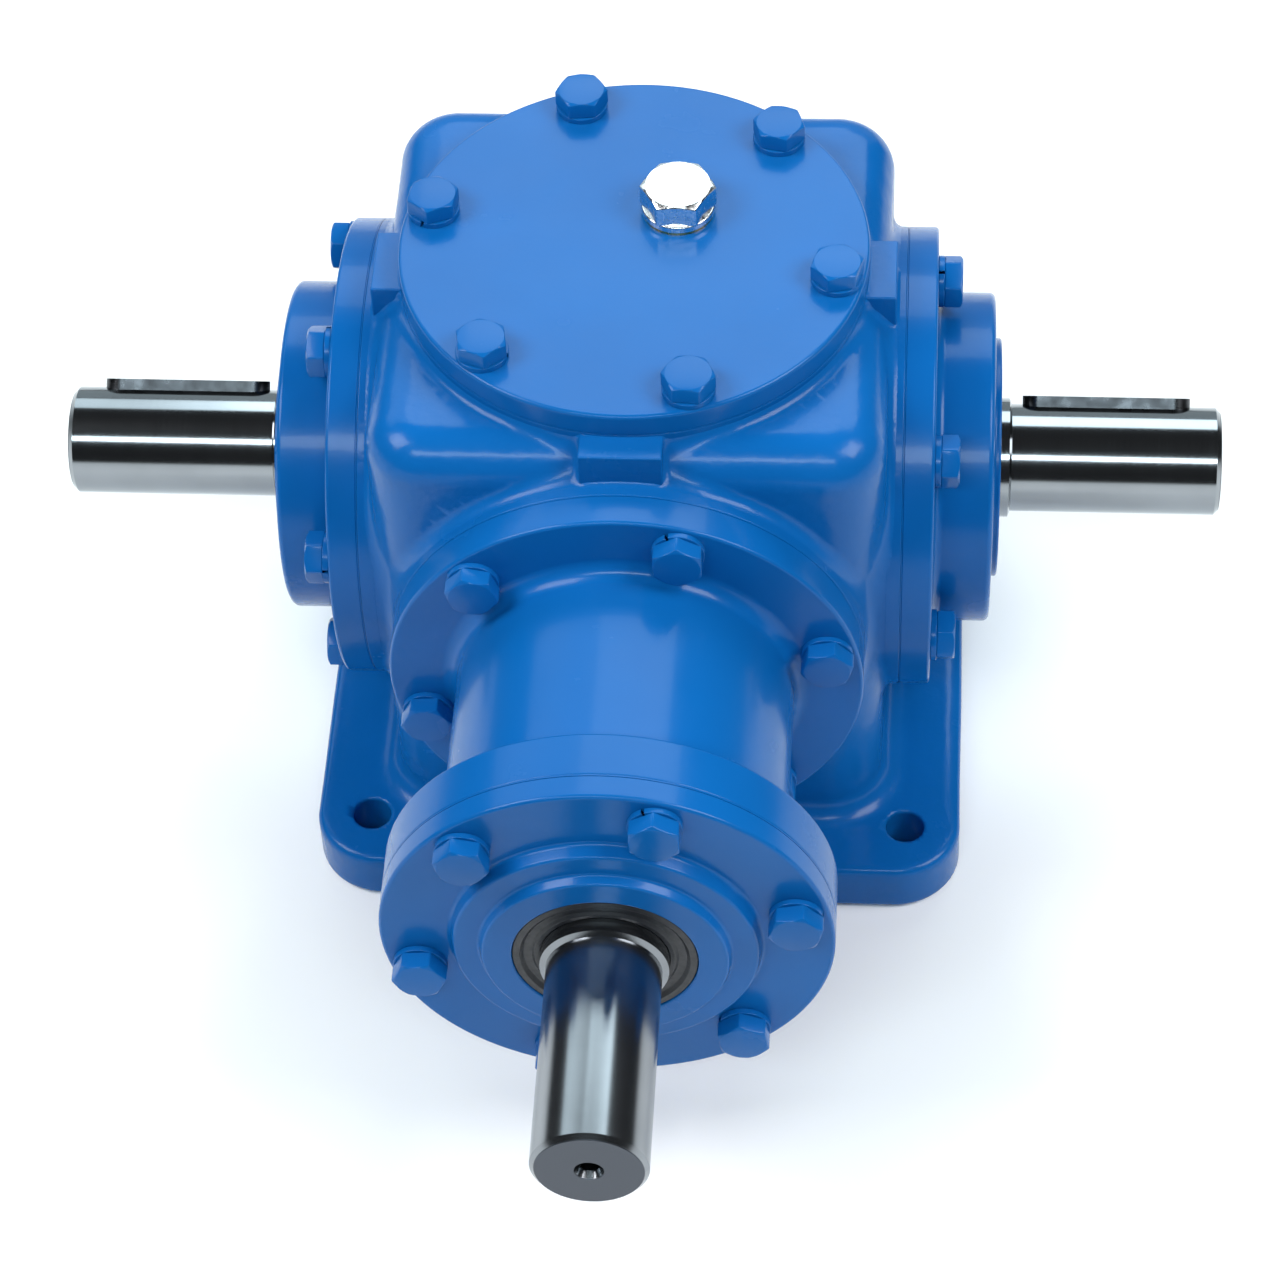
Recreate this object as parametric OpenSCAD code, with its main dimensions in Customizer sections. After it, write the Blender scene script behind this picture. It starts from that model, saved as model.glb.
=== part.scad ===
// Right angle spiral bevel gearbox: one input shaft at the front, one output shaft that runs
// through from side to side. Millimetres, +Z up. The origin is the centre of the base's underside,
// the output shaft lies along X, and the input shaft leaves towards -Y.

/* [Shafts] */
// Height of both shaft axes above the underside of the base
axis_height = 140; // [138:1:142]
// Diameter of the keyed shaft ends
shaft_d = 45; // [42:0.5:48]
// Distance from the centre to each end of the output shaft
output_reach = 242; // [236:1:260]
// Distance from the centre to the end of the input shaft
input_reach = 362; // [356:1:380]
// Direction of the output keys, turned from straight up about the shaft
output_key_angle = -47; // [-180:1:180]

/* [Base] */
// Length of the base plate along X
base_length = 275; // [270:1:290]
// Depth of the base plate along Y
base_depth = 267; // [262:1:280]
// Thickness of the base plate
base_thickness = 25; // [18:1:30]
// Corner radius of the base plate
base_corner = 28; // [20:1:30]
// Distance between the mounting holes along X
hole_spacing_x = 228; // [224:1:232]
// Distance between the mounting holes along Y
hole_spacing_y = 217; // [213:1:220]
// Diameter of the mounting holes
hole_d = 16; // [14:0.5:18]

/* [Casting] */
// Width of the cast body between its side walls
body_width = 207; // [202:1:212]
// Depth of the cast body
body_depth = 206; // [202:1:210]
// Top of the cast body above the shaft axes
body_top = 106; // [103:1:108]
// Radius on the upright corners of the cast body
body_round = 24; // [18:1:30]
// Radius on the upper edges of the cast body
edge_round = 18; // [14:1:24]
// Radius of the round flanges on the casting
flange_radius = 96; // [95:0.5:98]

/* [Input side] */
// Outside radius of the tube that carries the input bearings
quill_radius = 68; // [66:0.5:69]
// Radius of the front flange of the quill and of the cap on it
cap_radius = 88.3; // [88:0.1:92]

/* [Gears] */
// Teeth on each of the two equal gears
gear_teeth = 22; // [22:1:22]
// Mean spiral angle of the teeth
spiral_angle = 35; // [0:1:35]

/* [Output] */
// Which piece is drawn

/* [Hidden] */
$fn = 96;
fit = 0.05;             // radial gap between pieces that are pushed together
run = 0.05;             // radial gap between pieces that turn past each other
cone = 45;              // half angle of both pitch cones
bolt_circle = 84;       // radius of the bolt circles on the casting
cap_bolt_circle = 75.5; // radius of the bolt circle on the input cap
side_phase = 14;        // first bolt of the side covers, from horizontal
front_phase = 14;       // first bolt of the quill and the cap, from horizontal
top_phase = 48;         // first bolt of the top cover, from +X

bolt_d = 12;
bolt_across_flats = 19;
bolt_head = 7.5;
washer_r = 10.6;
washer_thickness = 2.5;
washer_slit = 1.4;
bolt_hole_d = 13.2;
tapped_depth = 21;

side_face = 110;        // machined side face of the casting, from the centre
front_face = 112;       // machined front face
top_face = 111.5;       // machined top face, above the axes
opening_r = 75;         // bored openings in the casting
shim = 0.4;             // side cover shims
gasket = 0.5;           // gaskets under the top cover and the quill

side_flange_out = 122.8; // outer face of a side cover's flange
side_boss_out = 147;     // outer face of a side cover's boss
side_step_out = 150;     // outer face of the small step on it
side_boss_r = 69;
side_step_r = 50;

top_out = 122;          // top of the top cover, above the axes
top_cover_r = 95;
filler_x = 17;
filler_y = 20;
filler_thread_r = 10.5;

quill_flange_out = 126.8; // front of the quill's rear flange
quill_front_in = 224.7;   // back of the quill's front flange
quill_front_out = 244.8;  // machined front face of the quill
cap_in = quill_front_out + gasket;
cap_flange_out = 255.6;
cap_ring_out = 261.6;
cap_step_out = 265.6;

seal_r = 36;
seal_width = 8;
journal_r = 25;         // shaft radius under the oil seals
collar_out = 155;       // end of the output journal, from the centre
input_collar_out = 271; // end of the input journal

key_width = 14;
key_height = 9;
key_depth = 5.5;        // how deep a key sits in its shaft
key_length = 70;
key_inset = 12.5;       // plain end of the shaft beyond the key

module_size = 6;                              // tooth size at the outer end
gear_pitch_r = module_size * gear_teeth / 2;
outer_distance = gear_pitch_r / sin(cone);    // apex to outer end along the pitch cone
face_width = 28;
inner_distance = outer_distance - face_width;
middle_distance = outer_distance - face_width / 2;
pressure_angle = 20;
flank_gap = 0.18;                             // thinning of each flank for backlash
dedendum = 1.2 * module_size;
gear_front = 46;        // apex to the small end of each gear's hub
gear_back = 92;         // apex to the large end of each gear's hub
gear_hub_r = 43;

// A tapered roller bearing: [bore r, outer r, total width, inner ring width, outer ring width,
// roller mean r, roller length, roller count, roller axis angle]
output_bearing = [25, 55, 29.25, 27, 23, 6.5, 18.5, 16, 11];
input_bearing = [27.5, 50, 26.75, 25, 21, 5.2, 16, 18, 13];
output_cone_back = 108.75; // inboard face of each output bearing
inner_cone_back = 100;     // gear side face of the inner input bearing
outer_cone_back = 238;     // nut side face of the outer input bearing

paint = [0.12, 0.40, 0.71];
steel = [0.72, 0.73, 0.75];
dark_steel = [0.45, 0.46, 0.48];
zinc = [0.82, 0.83, 0.84];
rubber = [0.06, 0.06, 0.07];
brass = [0.75, 0.60, 0.30];
paper = [0.30, 0.27, 0.22];

// ---------------------------------------------------------------- placing

// Local +Z becomes +X (side 1) or -X (side -1) at the height of the shafts.
module on_side(side) {
    translate([0, 0, axis_height])
        rotate([0, 0, side > 0 ? 0 : 180])
            rotate([0, 90, 0])
                children();
}

// Local +Z becomes -Y at the height of the shafts, local Y becomes +Z.
module on_front() {
    translate([0, 0, axis_height])
        rotate([90, 0, 0])
            children();
}

// Local +Z stays up, measured from the height of the shafts.
module on_top() {
    translate([0, 0, axis_height])
        children();
}

// Copies of the children on a circle, each one turned a little further on its own axis.
module ring_of(count, radius, phase, twist = 0) {
    for (k = [0 : count - 1])
        rotate(phase + 360 * k / count)
            translate([radius, 0, 0])
                rotate(twist * k)
                    children();
}

// Turned shape: a closed outline of [radius, height] points swept around the axis.
module turned(outline) {
    rotate_extrude()
        polygon(outline);
}

// Flat ring between two heights.
module ring(inner_r, outer_r, low, high) {
    turned([[inner_r, low], [outer_r, low], [outer_r, high], [inner_r, high]]);
}

module rounded_rectangle(length, width, radius) {
    square([length - 2 * radius, width], center = true);
    square([length, width - 2 * radius], center = true);
    for (x = [-1, 1], y = [-1, 1])
        translate([x * (length / 2 - radius), y * (width / 2 - radius)])
            circle(radius);
}

// ---------------------------------------------------------------- fasteners

// Hex bolt whose head stands on height 0, with the chamfered corners of a forged head.
module hex_bolt(length) {
    corner_r = bolt_across_flats / 2 / cos(30);
    intersection() {
        cylinder(r = corner_r, h = bolt_head, $fn = 6);
        cylinder(r1 = corner_r + 6.4, r2 = corner_r - 1.1, h = bolt_head);
    }
    translate([0, 0, -length])
        cylinder(d = bolt_d, h = length + 1);
}

module bolt_group(radius, phase, height, length) {
    translate([0, 0, height + washer_thickness])
        ring_of(6, radius, phase, 17)
            hex_bolt(length);
}

// Spring lock washer pressed flat, so that its cut shows as a narrow slit.
module spring_washer() {
    difference() {
        ring(bolt_d / 2 + 0.5, washer_r, 0, washer_thickness);
        translate([0, -washer_slit / 2, -1])
            cube([washer_r + 1, washer_slit, washer_thickness + 2]);
    }
}

module washer_group(radius, phase, height) {
    translate([0, 0, height])
        ring_of(6, radius, phase, 41)
            spring_washer();
}

// Holes for a ring of six bolts, between two heights.
module bolt_holes(radius, phase, diameter, low, high) {
    ring_of(6, radius, phase)
        translate([0, 0, low])
            cylinder(d = diameter, h = high - low);
}

// Thin flange seal with six bolt holes.
module flange_seal(inner_r, outer_r, circle_r, phase, low, thickness) {
    difference() {
        ring(inner_r, outer_r, low, low + thickness);
        bolt_holes(circle_r, phase, bolt_hole_d, low - 1, low + thickness + 1);
    }
}

// Hex plug with a round collar under its head, standing on height 0.
module plug(across_flats, head, collar_r, thread_r, length) {
    corner_r = across_flats / 2 / cos(30);
    cylinder(r = collar_r, h = 3);
    intersection() {
        cylinder(r = corner_r, h = head, $fn = 6);
        cylinder(r1 = corner_r + 10, r2 = corner_r - 2.2, h = head);
    }
    translate([0, 0, -length])
        cylinder(r = thread_r, h = length + 1);
}

// Slotted round nut with four spanner slots, between two heights.
module slotted_nut(bore_r, outer_r, low, high) {
    difference() {
        ring(bore_r, outer_r, low, high);
        for (k = [0 : 3])
            rotate(90 * k)
                translate([outer_r - 3, -3.5, low - 1])
                    cube([6, 7, high - low + 2]);
    }
}

// Tab washer for a slotted nut: a thin ring with an outward tab.
module tab_washer(bore_r, outer_r, low, high) {
    ring(bore_r, outer_r, low, high);
    translate([outer_r - 2, -3, low])
        cube([5, 6, high - low]);
}

// Parallel key with round ends, lying along Z from `low`, its underside `seat` off the axis
// in the -X direction.
module key(width, height, length, seat, low) {
    r = width / 2;
    translate([-seat - height, 0, low])
        rotate([0, 90, 0])
            rotate([0, 0, 180])
                linear_extrude(height) {
                    translate([r, -r])
                        square([length - width, width]);
                    translate([r, 0])
                        circle(r);
                    translate([length - r, 0])
                        circle(r);
                }
}

// ---------------------------------------------------------------- bearings

function bearing_apex(b) = b[3] / 2 + (b[0] + b[1]) / 2 / sin(b[8]) * cos(b[8]);
function roller_distance(b) = (b[0] + b[1]) / 2 / sin(b[8]);
function roller_half_angle(b) = asin(b[5] / roller_distance(b));
function inner_race(b, z) = (bearing_apex(b) - z) * tan(b[8] - roller_half_angle(b)) - 0.06;
function outer_race(b, z) = (bearing_apex(b) - z) * tan(b[8] + roller_half_angle(b)) + 0.06;

// Outer ring, with its thick end at the full width of the bearing.
module bearing_cup(b) {
    low = b[2] - b[4];
    high = b[2];
    outer = b[1] - fit;
    turned([
        [outer_race(b, low), low],
        [outer - 1, low],
        [outer, low + 1],
        [outer, high - 1.5],
        [outer - 1.5, high],
        [outer_race(b, high), high]
    ]);
}

// Inner ring, with its large rib at height 0.
module bearing_cone(b) {
    bore = b[0] + fit;
    rib = 0.1 * b[3];
    last = b[3] - rib;
    turned([
        [bore, 1],
        [bore + 1, 0],
        [inner_race(b, 0) + 3, 0],
        [inner_race(b, 0) + 3, rib],
        [inner_race(b, rib), rib],
        [inner_race(b, last), last],
        [inner_race(b, last) + 1.2, last],
        [inner_race(b, last) + 1.2, b[3]],
        [bore + 1, b[3]],
        [bore, b[3] - 1]
    ]);
}

// All the tapered rollers, `extra` larger all round when they cut the pockets of the cage.
module roller_ring(b, extra = 0) {
    far = roller_distance(b) + b[6] / 2 + extra;
    near = roller_distance(b) - b[6] / 2 - extra;
    slope = tan(roller_half_angle(b));
    for (k = [0 : b[7] - 1])
        rotate(360 * k / b[7])
            translate([0, 0, bearing_apex(b)])
                rotate([0, 180 - b[8], 0])
                    translate([0, 0, near])
                        cylinder(r1 = near * slope + extra, r2 = far * slope + extra, h = far - near);
}

// Pressed steel cage: a tapered sleeve with one pocket for each roller.
module bearing_cage(b) {
    low = 1;
    high = b[3] - 1;
    middle = (b[0] + b[1]) / 2;
    slope = tan(b[8] + 1);
    low_r = middle + (b[3] / 2 - low) * slope;
    high_r = middle + (b[3] / 2 - high) * slope;
    difference() {
        turned([[low_r, low], [low_r + 1.8, low], [high_r + 1.8, high], [high_r, high]]);
        roller_ring(b, 0.15);
    }
}

// An output bearing has its cup outboard, against the side cover.
module in_output_bearing() {
    translate([0, 0, output_cone_back])
        children();
}

module in_inner_bearing() {
    translate([0, 0, inner_cone_back])
        children();
}

// The outer input bearing faces the other way, towards the gears.
module in_outer_bearing() {
    translate([0, 0, outer_cone_back])
        rotate([180, 0, 0])
            children();
}

// ---------------------------------------------------------------- bevel gears

// Tredgold's rule: on the back cone each tooth has the profile of a larger spur gear.
virtual_teeth = gear_teeth / cos(cone);
function involute(angle) = tan(angle) * 180 / PI - angle;
function profile_angle(rho, base) = rho > base ? acos(base / rho) : 0;
function half_tooth(distance, height) =
    let (back_r = distance * tan(cone))
    let (at = profile_angle(back_r + height, back_r * cos(pressure_angle)))
    let (thinning = flank_gap / (outer_distance * tan(cone)) * 180 / PI)
    (90 / virtual_teeth + involute(pressure_angle) - involute(at) - thinning) / cos(cone);
function spiral_turn(distance) =
    tan(spiral_angle) * ln(distance / middle_distance) / sin(cone) * 180 / PI;
function cone_point(distance, height, angle) =
    let (r = distance * sin(cone) + height * cos(cone))
    [r * cos(angle), r * sin(angle), distance * cos(cone) - height * sin(cone)];

// Heights of the profile points above the pitch cone at the outer end.
tooth_levels = [-dedendum - 1, -0.9 * module_size, -0.3 * module_size, 0.4 * module_size,
    module_size];
section_count = 6;
level_count = len(tooth_levels);
function section_distance(i) = inner_distance + face_width * i / (section_count - 1);
function section_points(i, hand) =
    let (distance = section_distance(i))
    let (turn = hand * spiral_turn(distance))
    let (scale = distance / outer_distance)
    concat(
        [for (h = tooth_levels)
            cone_point(distance, h * scale, turn - half_tooth(distance, h * scale))],
        [for (j = [level_count - 1 : -1 : 0])
            let (h = tooth_levels[j] * scale)
            cone_point(distance, h, turn + half_tooth(distance, h))]
    );

// One curved tooth, reaching a little below the root cone.
module bevel_tooth(hand) {
    n = 2 * level_count;
    last = (section_count - 1) * n;
    points = [for (i = [0 : section_count - 1]) each section_points(i, hand)];
    sides = [for (i = [0 : section_count - 2], j = [0 : n - 1])
        let (a = i * n + j)
        let (b = i * n + (j + 1) % n)
        each [[a, a + n, b], [b, a + n, b + n]]];
    ends = [for (j = [0 : level_count - 2])
        let (k = n - 1 - j)
        each [
            [j, j + 1, k], [j + 1, k - 1, k],
            [last + j, last + k, last + j + 1], [last + j + 1, last + k, last + k - 1]
        ]];
    polyhedron(points, concat(sides, ends), convexity = 4);
}

// Turned blank under the teeth, from the small end of the hub to the back.
module gear_blank(bore_r) {
    inner = cone_point(inner_distance - 0.6, -dedendum * inner_distance / outer_distance, 0);
    outer = cone_point(outer_distance + 0.6, -dedendum, 0);
    turned([
        [bore_r + 1, gear_front],
        [36, gear_front],
        [inner[0], inner[2]],
        [outer[0], outer[2]],
        [outer[0] - 3.5, outer[2] + 3.5],
        [outer[0] - 3.5, outer[2] + 7],
        [gear_hub_r, outer[2] + 9],
        [gear_hub_r, gear_back - 1],
        [gear_hub_r - 1, gear_back],
        [bore_r + 1, gear_back],
        [bore_r, gear_back - 1],
        [bore_r, gear_front + 1]
    ]);
}

// Gear with its apex at the origin and a through keyway towards -X.
module bevel_gear(hand, first_angle, bore_r, keyway_width, keyway_r) {
    difference() {
        union() {
            gear_blank(bore_r + fit);
            for (k = [0 : gear_teeth - 1])
                rotate(first_angle + 360 * k / gear_teeth)
                    bevel_tooth(hand);
        }
        translate([-keyway_r, -keyway_width / 2, gear_front - 1])
            cube([keyway_r, keyway_width, gear_back - gear_front + 2]);
    }
}

// ---------------------------------------------------------------- casting

// Block with rounded corners and upper edges, standing on the base.
module body_block() {
    height = axis_height + body_top;
    intersection() {
        linear_extrude(height)
            rounded_rectangle(body_width, body_depth, body_round);
        translate([body_width / 2 + 1, 0, height / 2 - 20])
            rotate([0, -90, 0])
                linear_extrude(body_width + 2)
                    rounded_rectangle(height + 40, body_depth, edge_round);
        translate([0, body_depth / 2 + 1, height / 2 - 20])
            rotate([90, 0, 0])
                linear_extrude(body_depth + 2)
                    rounded_rectangle(body_width, height + 40, edge_round);
    }
}

module base_plate() {
    edge = 3;
    linear_extrude(base_thickness - edge)
        rounded_rectangle(base_length, base_depth, base_corner);
    linear_extrude(base_thickness)
        rounded_rectangle(base_length - 2 * edge, base_depth - 2 * edge, base_corner - edge);
}

// Round flange with a sloping root where it leaves the cast wall.
module flange(radius, wall, face) {
    root = 4;
    cylinder(r = radius, h = face);
    translate([0, 0, wall - root])
        cylinder(r = radius + root, h = root);
    translate([0, 0, wall])
        cylinder(r1 = radius + root, r2 = radius, h = root);
}

// Round flanges on the two sides, the front and the top.
module casting_flanges() {
    for (side = [-1, 1])
        on_side(side)
            flange(flange_radius, body_width / 2, side_face);
    on_front()
        flange(flange_radius, body_depth / 2, front_face);
    on_top()
        flange(flange_radius - 1, body_top, top_face);
}

// Raised lands on the edges between the top flange and the left, right and front flanges.
module edge_lands() {
    reach = 106;
    on_top()
        for (turn = [-90, 0, 90])
            rotate(turn)
                translate([-16.5, -reach, 85])
                    cube([33, reach - 85, 25.5]);
}

// Hollow inside the walls, with a thick ring left around each bored opening.
module cavity() {
    half = 92;
    inner_ring = 86;
    difference() {
        translate([-half, -half, 20])
            cube([2 * half, 2 * half, axis_height + half - 20]);
        for (side = [-1, 1])
            on_side(side)
                ring(opening_r - 2, flange_radius, inner_ring, half + 1);
        on_front()
            ring(opening_r - 2, flange_radius, inner_ring, half + 1);
        on_top()
            ring(opening_r - 2, flange_radius, inner_ring, half + 1);
    }
}

module casting_openings() {
    for (side = [-1, 1])
        on_side(side)
            translate([0, 0, 80])
                cylinder(r = opening_r, h = 40);
    on_front()
        translate([0, 0, 80])
            cylinder(r = opening_r, h = 40);
    on_top()
        translate([0, 0, 80])
            cylinder(r = opening_r - 3, h = 40);
}

module casting_tapped_holes() {
    for (side = [-1, 1])
        on_side(side)
            bolt_holes(bolt_circle, 90 + side_phase, bolt_d + 2 * fit, side_face - tapped_depth,
                side_face + 1);
    on_front()
        bolt_holes(bolt_circle, front_phase, bolt_d + 2 * fit, front_face - tapped_depth,
            front_face + 1);
    on_top()
        bolt_holes(bolt_circle, top_phase, bolt_d + 2 * fit, top_face - tapped_depth, top_face + 1);
}

module mounting_holes() {
    for (x = [-1, 1], y = [-1, 1])
        translate([x * hole_spacing_x / 2, y * hole_spacing_y / 2, -1])
            cylinder(d = hole_d, h = base_thickness + 2);
}

// The drain and the sight glass sit in the closed rear wall.
module on_rear(height) {
    translate([0, body_depth / 2, height])
        rotate([-90, 0, 0])
            children();
}

drain_height = 46;
sight_height = 104;

module housing() {
    color(paint)
        difference() {
            union() {
                base_plate();
                body_block();
                casting_flanges();
                edge_lands();
                on_rear(drain_height)
                    cylinder(r = 17, h = 2);
                on_rear(sight_height)
                    cylinder(r = 22, h = 2);
            }
            cavity();
            casting_openings();
            casting_tapped_holes();
            mounting_holes();
            on_rear(drain_height)
                translate([0, 0, -20])
                    cylinder(r = 8.3 + fit, h = 30);
            on_rear(sight_height)
                translate([0, 0, -20])
                    cylinder(r = 13.2 + fit, h = 30);
        }
}

// ---------------------------------------------------------------- top cover and plugs

module top_cover() {
    low = top_face + gasket;
    color(paint)
        on_top()
            difference() {
                turned([
                    [0, low - 3],
                    [opening_r - 3 - 0.5, low - 3],
                    [opening_r - 3 - 0.5, low],
                    [top_cover_r, low],
                    [top_cover_r, top_out - 1],
                    [top_cover_r - 1, top_out],
                    [0, top_out]
                ]);
                bolt_holes(bolt_circle, top_phase, bolt_hole_d, low - 1, top_out + 1);
                translate([filler_x, filler_y, low - 4])
                    cylinder(r = filler_thread_r + fit, h = 20);
            }
}

module top_cover_gasket() {
    color(paper)
        on_top()
            flange_seal(opening_r - 3, top_cover_r, bolt_circle, top_phase, top_face, gasket);
}

module top_cover_bolts() {
    color(paint)
        on_top()
            bolt_group(bolt_circle, top_phase, top_out, 30);
}

module top_cover_washers() {
    color(paint)
        on_top()
            washer_group(bolt_circle, top_phase, top_out);
}

module filler_plug() {
    color(zinc)
        on_top()
            translate([filler_x, filler_y, top_out + 1.5])
                rotate(8)
                    plug(27, 13, 15, filler_thread_r, 13);
}

module filler_plug_washer() {
    color(brass)
        on_top()
            translate([filler_x, filler_y, 0])
                ring(filler_thread_r + 0.3, 14.5, top_out, top_out + 1.5);
}

module drain_plug() {
    color(zinc)
        on_rear(drain_height)
            translate([0, 0, 3.5])
                plug(22, 8, 12.5, 8.3, 15);
}

module drain_plug_washer() {
    color(brass)
        on_rear(drain_height)
            ring(8.3 + 0.3, 12, 2, 3.5);
}

// Round sight glass in a threaded metal rim.
module oil_sight_glass() {
    color(brass)
        on_rear(sight_height)
            turned([
                [0, -13],
                [13.2, -13],
                [13.2, 2],
                [18, 2],
                [18, 5],
                [16, 7],
                [12, 7],
                [12, 4.5],
                [0, 4.5]
            ]);
}

// ---------------------------------------------------------------- side covers and their bearings

// Cover that holds one output bearing and its oil seal.
module bearing_cover(side) {
    low = side_face + shim;
    bearing_r = output_bearing[1];
    bearing_end = output_cone_back + output_bearing[2];
    seal_floor = side_step_out - seal_width - 0.5;
    color(paint)
        on_side(side)
            difference() {
                turned([
                    [bearing_r, 100],
                    [opening_r - fit, 100],
                    [opening_r - fit, low],
                    [flange_radius, low],
                    [flange_radius, side_flange_out - 1.5],
                    [flange_radius - 1.5, side_flange_out],
                    [side_boss_r + 3, side_flange_out],
                    [side_boss_r, side_flange_out + 3],
                    [side_boss_r, side_boss_out - 2],
                    [side_boss_r - 2, side_boss_out],
                    [side_step_r, side_boss_out],
                    [side_step_r, side_step_out - 1],
                    [side_step_r - 1, side_step_out],
                    [seal_r, side_step_out],
                    [seal_r, seal_floor],
                    [journal_r + 4, seal_floor],
                    [journal_r + 4, bearing_end],
                    [bearing_r, bearing_end]
                ]);
                bolt_holes(bolt_circle, 90 + side_phase, bolt_hole_d, low - 1, side_flange_out + 1);
                ring_of(6, bolt_circle, 90 + side_phase)
                    translate([0, 0, side_flange_out])
                        cylinder(r = washer_r + 0.8, h = 4);
            }
}

module cover_shims(side) {
    color(steel)
        on_side(side)
            flange_seal(opening_r + 0.2, flange_radius, bolt_circle, 90 + side_phase, side_face, shim);
}

module cover_bolts(side) {
    color(paint)
        on_side(side)
            bolt_group(bolt_circle, 90 + side_phase, side_flange_out, 33);
}

module cover_washers(side) {
    color(paint)
        on_side(side)
            washer_group(bolt_circle, 90 + side_phase, side_flange_out);
}

// Lip seal: rubber covered case with a recessed face and a lip that clears the shaft.
module oil_seal(high) {
    low = high - seal_width;
    outer = seal_r - fit;
    lip = journal_r + run;
    turned([
        [lip + 1.5, low],
        [outer - 0.5, low],
        [outer, low + 0.5],
        [outer, high],
        [outer - 3.5, high],
        [outer - 4.5, high - 1.5],
        [lip + 1.5, high - 1.5],
        [lip, high - 2.5],
        [lip, high - 4.5]
    ]);
}

module side_oil_seal(side) {
    color(rubber)
        on_side(side)
            oil_seal(side_step_out - 0.5);
}

module side_bearing_cup(side) {
    color(steel)
        on_side(side)
            in_output_bearing()
                bearing_cup(output_bearing);
}

module side_bearing_rollers(side) {
    color(steel)
        on_side(side)
            in_output_bearing()
                roller_ring(output_bearing);
}

module side_bearing_cage(side) {
    color(dark_steel)
        on_side(side)
            in_output_bearing()
                bearing_cage(output_bearing);
}

module side_bearing_cone(side) {
    color(steel)
        on_side(side)
            in_output_bearing()
                bearing_cone(output_bearing);
}

// ---------------------------------------------------------------- output shaft

gear_seat_r = 27.5;
gear_key_width = 16;
gear_key_height = 10;
gear_key_depth = 6;
gear_key_length = 36;
gear_key_low = 51;

// Shaft end keyway with round ends, seen along Z and cut towards -X.
module keyway(width, depth, shaft_r, length, low) {
    key(width + 2 * fit, depth + 5, length + 2 * fit, shaft_r - depth, low - fit);
}

module output_shaft() {
    half = shaft_d / 2;
    key_low = output_reach - key_inset - key_length;
    color(steel)
        on_side(1)
            difference() {
                turned([
                    [0, -output_reach],
                    [half - 2, -output_reach],
                    [half, -output_reach + 2],
                    [half, -collar_out],
                    [journal_r, -collar_out + 1],
                    [journal_r, -output_cone_back],
                    [31, -output_cone_back],
                    [31, 34],
                    [32, 34],
                    [32, gear_front],
                    [gear_seat_r, gear_front],
                    [gear_seat_r, gear_back - 1],
                    [journal_r, gear_back - 1],
                    [journal_r, collar_out - 1],
                    [half, collar_out],
                    [half, output_reach - 2],
                    [half - 2, output_reach],
                    [0, output_reach]
                ]);
                rotate(output_key_angle)
                    keyway(key_width, key_depth, half, key_length, key_low);
                rotate(output_key_angle)
                    keyway(key_width, key_depth, half, key_length, -output_reach + key_inset);
                keyway(gear_key_width, gear_key_depth, gear_seat_r, gear_key_length, gear_key_low);
                for (end = [-1, 1])
                    centre_hole(end, output_reach);
            }
}

// Centre hole with a countersunk mouth in the end of a shaft.
module centre_hole(end, reach) {
    flip = end > 0 ? 0 : 180;
    rotate([flip, 0, 0]) {
        translate([0, 0, reach - 22])
            cylinder(r = 4.2, h = 23);
        translate([0, 0, reach - 3])
            cylinder(r1 = 4.2, r2 = 6.2, h = 4);
    }
}

module output_shaft_key(side) {
    key_low = side > 0 ? output_reach - key_inset - key_length : -output_reach + key_inset;
    color(steel)
        on_side(1)
            rotate(output_key_angle)
                key(key_width, key_height, key_length, shaft_d / 2 - key_depth + 0.02, key_low);
}

module output_gear() {
    color(dark_steel)
        on_side(1)
            bevel_gear(1, -90, gear_seat_r, gear_key_width + 2 * fit, gear_seat_r + 4.5);
}

module gear_key() {
    color(steel)
        on_side(1)
            key(gear_key_width, gear_key_height, gear_key_length, gear_seat_r - gear_key_depth + 0.02,
                gear_key_low);
}

module gear_spacer() {
    color(dark_steel)
        on_side(1)
            ring(journal_r + fit, 32, gear_back, output_cone_back);
}

// ---------------------------------------------------------------- quill and cap

module quill_housing() {
    low = front_face + gasket;
    bearing_r = input_bearing[1];
    inner_end = inner_cone_back + input_bearing[2];
    outer_end = outer_cone_back - input_bearing[2];
    color(paint)
        on_front()
            difference() {
                turned([
                    [bearing_r, 98],
                    [opening_r - fit, 98],
                    [opening_r - fit, low],
                    [flange_radius, low],
                    [flange_radius, quill_flange_out - 1.5],
                    [flange_radius - 1.5, quill_flange_out],
                    [quill_radius + 3.2, quill_flange_out],
                    [quill_radius, quill_flange_out + 8],
                    [quill_radius, quill_front_in - 5],
                    [quill_radius + 4, quill_front_in],
                    [cap_radius - 1.5, quill_front_in],
                    [cap_radius, quill_front_in + 1.5],
                    [cap_radius, quill_front_out],
                    [bearing_r, quill_front_out],
                    [bearing_r, outer_end],
                    [bearing_r - 6, outer_end],
                    [bearing_r - 6, inner_end],
                    [bearing_r, inner_end]
                ]);
                bolt_holes(bolt_circle, front_phase, bolt_hole_d, low - 1, quill_flange_out + 1);
                bolt_holes(cap_bolt_circle, front_phase, bolt_d + 2 * fit, quill_front_out - 19,
                    quill_front_out + 1);
            }
}

module quill_shims() {
    color(steel)
        on_front()
            flange_seal(opening_r + 0.2, flange_radius, bolt_circle, front_phase, front_face, gasket);
}

module quill_bolts() {
    color(paint)
        on_front()
            bolt_group(bolt_circle, front_phase, quill_flange_out, 35);
}

module quill_washers() {
    color(paint)
        on_front()
            washer_group(bolt_circle, front_phase, quill_flange_out);
}

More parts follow.
